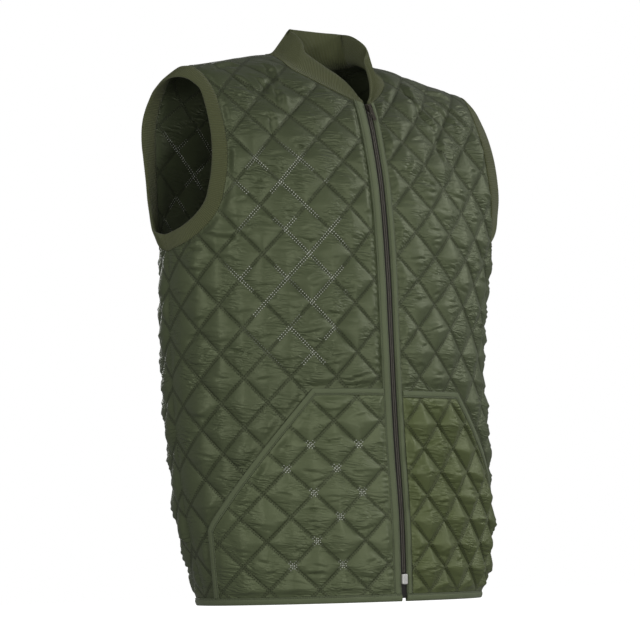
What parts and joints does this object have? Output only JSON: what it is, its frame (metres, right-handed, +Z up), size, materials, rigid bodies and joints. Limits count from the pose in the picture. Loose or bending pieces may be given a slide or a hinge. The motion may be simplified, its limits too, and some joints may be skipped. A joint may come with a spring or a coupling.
{
  "type": "thermal vest",
  "caption": "Sleeveless diamond-quilted thermal vest in its worn, hollow form, with zip front, slant patch pockets, rib-knit collar and armhole bands; keeps the wearer's trunk warm.",
  "frame": {"origin": "on the centre line of the neck opening, level with the neck end of the shoulder seams", "axes": "+Z up the wearer, -Y is the front with the zip, +X is the wearer's left"},
  "size_m": [0.4941, 0.2995, 0.7485],
  "materials": {
    "quilted_taffeta": "soft sheen, padded and quilted in diamonds",
    "pocket_taffeta": "soft sheen, padded and quilted in diamonds",
    "edge_tape": "matte woven tape",
    "rib_knit": "matte rib knit",
    "zip_tape": "dark woven zip tape with coil",
    "zip_slider_metal": "dark lacquer",
    "zip_box_metal": "bright metal"
  },
  "bodies": {
    "garment": {"front_right": "quilted_taffeta", "front_left": "quilted_taffeta", "back": "quilted_taffeta", "pocket_right": "pocket_taffeta", "pocket_left": "pocket_taffeta", "pocket_tape_right": "edge_tape", "pocket_tape_left": "edge_tape", "front_strip_right": "edge_tape", "front_strip_left": "edge_tape", "hem_binding_front_right": "edge_tape", "hem_binding_front_left": "edge_tape", "hem_binding_back": "edge_tape", "collar": "rib_knit", "armhole_band_right": "rib_knit", "armhole_band_left": "rib_knit", "zip_tape_right": "zip_tape", "zip_tape_left": "zip_tape", "zip_slider": "zip_slider_metal", "zip_box": "zip_box_metal"},
    "pull_tab": {"zip_pull": "zip_slider_metal"}
  },
  "joints": [
    {"name": "pull_hinge", "type": "hinge", "parent": "garment", "child": "pull_tab", "pos_m": [0.0079, -0.09884, -0.07327], "axis": [-1, 0, 0], "range_deg": [0, 150]}
  ]
}
